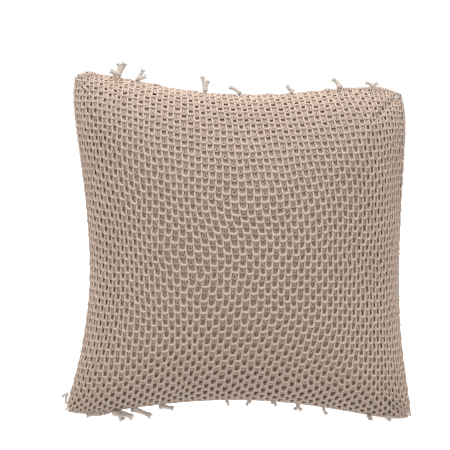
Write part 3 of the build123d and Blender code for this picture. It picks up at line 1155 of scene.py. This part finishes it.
def tail_plies(start, tip, bend, tail_radius, random):
    """Three plies twisted round a slightly bent line, opening out at the tip, and a few fine fibres."""
    def bent(share):
        return start + (tip - start) * share + bend * (np.sin(share * math.pi) + 0.4 * share**2)

    along = np.linspace(0, 1, 25)[:, None]
    length = np.linalg.norm(tip - start)
    first = np.cross((tip - start) / length, (0.2, 0.9, 0.3))
    first = first / np.linalg.norm(first)
    second = np.cross((tip - start) / length, first)
    opening = np.clip((along - opening_start) / (1 - opening_start), 0, 1) ** 2
    reach = tail_radius * (0.52 - 0.12 * along + 0.5 * opening)
    plies = []
    for number in range(ply_count):
        angle = turn * (number / ply_count + along * length / ply_turn)
        plies.append(bent(along) + (first * np.cos(angle) + second * np.sin(angle)) * reach)
    width = (0.58 * tail_radius * (1 - 0.35 * along))[:, 0]
    hair_share = np.linspace(hair_start, hair_end, 25)[:, None]
    away = ((hair_share - hair_start) / (hair_end - hair_start)) ** 1.5
    hairs = [bent(hair_share) + random.normal(0, 0.0016, 3) * away for _ in range(hair_count)]
    return [(np.stack(plies), np.stack([width] * ply_count)), (np.stack(hairs), hair_radius)]


def tied_knot(name, seam, knot, outward_way, sideways, seed):
    share, forward, radius, ends = knot
    random = np.random.default_rng(seed)
    points, _ = edge_frame(seam, np.array([share - 0.001, share, share + 0.001]))
    middle = points[1] + outward_way * radius * knot_lift - np.array((0, forward, 0))
    middle[2] = max(middle[2], radius + room_below)
    groups = [(knot_loop(middle, radius, random)[None], radius * loop_yarn)]
    for lean, length in ends:
        lean = math.radians(lean)
        tip = middle + (outward_way * math.cos(lean) + sideways * math.sin(lean)) * (radius + length)
        too_low = max(tip_radius * 2 + room_below - tip[2], 0)
        tip = tip + np.array((0, -too_low, too_low))
        bend = random.normal(0, 0.0011, 3)
        bend[2] = abs(bend[2])
        groups.extend(tail_plies(middle, tip, bend, radius * tail_share, random))
    piece = strand_piece(name + "_yarn", groups, sides=8)
    low = min(v.co.z for v in piece.data.vertices)
    if low < 0:
        piece.data.transform(Matrix.Translation((0, 0, -low)))
    return finished(piece, loose_yarn, name)


to_right, upward_way = np.array((1.0, 0, 0)), np.array((0, 0, 1.0))
for place, seam, way, sideways, knots in (
    ("top", "top", upward_way, to_right, top_knots),
    ("bottom", "bottom", -upward_way, to_right, bottom_knots),
    ("corner", "left", -to_right, upward_way, corner_knots),
):
    for number, knot in enumerate(knots, start=1):
        tied_knot(f"{place}_knot_{number}", seam, knot, way, sideways, 200 + 20 * len(place) + number)

# %% [markdown]
# ## The zip
# The zip is a nylon coil zip. Its teeth are one long spiral on each side, pressed flat and sewn to a woven
# tape; the two spirals hook into each other along the middle. The spirals are made as strands. The tapes,
# the stops, the slider and its pull keep their CAD shapes, with their edges slightly rounded.

# %% Zip coils and tapes
coil_pitch = 0.0013
coil_thread = 0.00032
coil_inner, coil_outer = -0.0006, 0.0033
coil_low, coil_high = 0.0006, 0.0018
twill_lines = 900        # a metre
coil_half = (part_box("zip_coil_upper")[1].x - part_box("zip_coil_upper")[0].x) / 2


def zip_point(along, up, out):
    return zip_origin + along[..., None] * zip_along + up[..., None] * zip_up + out[..., None] * zip_out


nylon = Finish("coil_nylon", Roughness=0.45)
nylon_tone = nylon.noise(nylon.place(), 60, 2)
nylon.tone(nylon_tone, (0.42, 0.34, 0.28), (0.50, 0.41, 0.34))
nylon.to_shader("Roughness", nylon_tone * 0.2 + 0.35)

for coil, sign in (("zip_coil_upper", 1), ("zip_coil_lower", -1)):
    turns = int(2 * coil_half / coil_pitch)
    angle = np.linspace(0, turns * turn, turns * turn_points + 1)
    along = -coil_half + 2 * coil_half * angle / angle[-1]
    along = along + sign * coil_pitch / 4
    up = (coil_inner + coil_outer) / 2 + (coil_outer - coil_inner) / 2 * np.cos(angle)
    out = (coil_low + coil_high) / 2 + (coil_high - coil_low) / 2 * np.sin(angle)
    spiral = zip_point(np.clip(along, -coil_half, coil_half), sign * up, out)[None]
    piece = strand_piece(coil + "_teeth", [(spiral, coil_thread)], sides=6, folds=12)
    finished(piece, nylon.material, coil)

tape_weave = Finish("zip_tape_cotton", Roughness=0.85, Sheen_Weight=0.1)
tape_place = tape_weave.place()
tape_across, tape_height = tape_weave.split(tape_place, "X", "Z")
twill = ((tape_across * twill_lines + tape_height * twill_lines) * turn).wave()
twill_back = ((tape_across * twill_lines - tape_height * twill_lines) * turn).wave()
tape_shade = twill * 0.35 + twill_back * 0.25 + tape_weave.noise(tape_place, 300, 2) * 0.5
tape_weave.tone(tape_shade, (0.30, 0.235, 0.19), (0.46, 0.375, 0.315))
tape_weave.to_shader("Roughness", twill * 0.1 + 0.78)
tape_weave.bump(twill * 0.5 + twill_back * 0.5, 0.4, 0.0002)

metal = Finish("zip_metal", Metallic=1.0, Roughness=0.35)
scratches = metal.noise(metal.place(), 900, 4, 0.7)
metal.tone(scratches, (0.50, 0.46, 0.40), (0.68, 0.64, 0.58))
metal.to_shader("Roughness", scratches * 0.25 + 0.22)
metal.bump(scratches, 0.15, 0.0001)


def rounded_copy(node, name, body, material, width):
    """The CAD node's mesh with its edges rounded, as a new piece."""
    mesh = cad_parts[node].data.copy()
    mesh.name = name
    piece = in_scene(name, mesh)
    work = bmesh.new()
    work.from_mesh(mesh)
    bmesh.ops.remove_doubles(work, verts=work.verts, dist=1e-6)
    bmesh.ops.dissolve_limit(work, angle_limit=math.radians(3), verts=work.verts, edges=work.edges)
    work.to_mesh(mesh)
    work.free()
    mesh.materials.clear()
    rounding = piece.modifiers.new("rounded_edges", "BEVEL")
    rounding.width = width
    rounding.segments = 2
    rounding.angle_limit = math.radians(35)
    for polygon in mesh.polygons:
        polygon.use_smooth = False
    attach(piece, body)
    return finished(piece, material, node)


for node, name, body, material, slot, width in (
    ("zip_tape_upper", "zip_tape_upper_woven", "cover", tape_weave.material, "zip_tape", 0.00012),
    ("zip_tape_lower", "zip_tape_lower_woven", "cover", tape_weave.material, "zip_tape", 0.00012),
    ("zip_top_stops", "zip_top_stop_metal", "cover", metal.material, "zip_stop", 0.0003),
    ("zip_bottom_stop", "zip_bottom_stop_metal", "cover", metal.material, "zip_stop", 0.0003),
    ("zip_slider", "zip_slider_metal", "zip_slider", metal.material, "zip_metal", 0.00018),
    ("zip_pull", "zip_pull_metal", "zip_pull", metal.material, "zip_metal", 0.00018),
):
    rounded_copy(node, name, body, material, width)

# %% [markdown]
# ## Care label
# A blank folded label is sewn under the lower tape. It is a strip of satin, folded once, made as a thin
# sheet along a U-shaped line.

# %% Care label
label_low, label_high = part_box("care_label")
label_half = (label_high.x - label_low.x) / 2
label_thickness = 0.0003
label_fold = np.array([
    (-0.0128, -0.0006), (-0.0131, -0.0018), (-0.0126, -0.0029), (-0.0110, -0.0032),
    (-0.0085, -0.0032), (-0.0060, -0.0032), (-0.0032, -0.0032),
])
label_along = np.linspace(-label_half, label_half, 37)
label_middle = (label_low.x + label_high.x) / 2 - zip_origin[0]
label_wave = 0.00012 * np.sin(label_along * 260)
strip_along, strip_fold = np.meshgrid(label_along, np.arange(len(label_fold)), indexing="ij")
strip = zip_point(
    strip_along - label_middle, label_fold[strip_fold, 0],
    label_fold[strip_fold, 1] + label_wave[:, None],
)
count_a, count_b = strip.shape[:2]
strip_ids = np.arange(count_a * count_b).reshape(count_a, count_b)
satin = Finish("label_satin", Roughness=0.5, Sheen_Weight=0.2)
satin_thread = satin.noise(satin.place(), 1500, 3, 0.6)
satin.tone(satin_thread, (0.74, 0.73, 0.70), (0.86, 0.85, 0.82))
satin.bump(satin_thread, 0.2, 0.0002)
label = mesh_piece("care_label_satin", strip.reshape(-1, 3), grid_quads(strip_ids).tolist(), {})
thicken(label, label_thickness, 0)
finished(label, satin.material, "care_label")

# %% [markdown]
# ## Floor and backdrop
# The pillow stands on a plain pale floor in front of white paper that runs all round. Both are there for
# the eye only: they send no light back, or the foot of the pillow would be as bright as its top.

# %% Floor and backdrop
floor_radius = 14.0
sweep_height = 12.0
floor_glow, paper_glow = 0.66, 1.05
circle_angle = np.linspace(0, turn, 97)[:-1]
circle = np.stack([np.cos(circle_angle), np.sin(circle_angle)], -1) * floor_radius


def stage_piece(name, points, faces, finish):
    mesh = bpy.data.meshes.new(name)
    mesh.from_pydata(points, [], faces)
    mesh.materials.append(finish.material)
    piece = in_scene(name, mesh)
    piece.visible_diffuse = False
    piece.visible_glossy = False
    return piece


around_count = len(circle)
floor_finish = Finish(
    "pale_floor", Base_Color=(0.75, 0.75, 0.75, 1), Roughness=0.9,
    Emission_Color=(1, 1, 1, 1), Emission_Strength=floor_glow,
)
floor = stage_piece("floor", [(x, y, 0) for x, y in circle], [list(range(around_count))], floor_finish)

paper = Finish(
    "white_paper", Base_Color=(0, 0, 0, 1), Roughness=1.0,
    Emission_Color=(1, 1, 1, 1), Emission_Strength=paper_glow,
)
sweep = stage_piece(
    "backdrop",
    [(x, y, z) for z in (-0.01, sweep_height) for x, y in circle],
    [(i, (i + 1) % around_count, around_count + (i + 1) % around_count, around_count + i)
     for i in range(around_count)],
    paper,
)
sweep.visible_shadow = False
print("floor", floor.name, "backdrop", sweep.name)
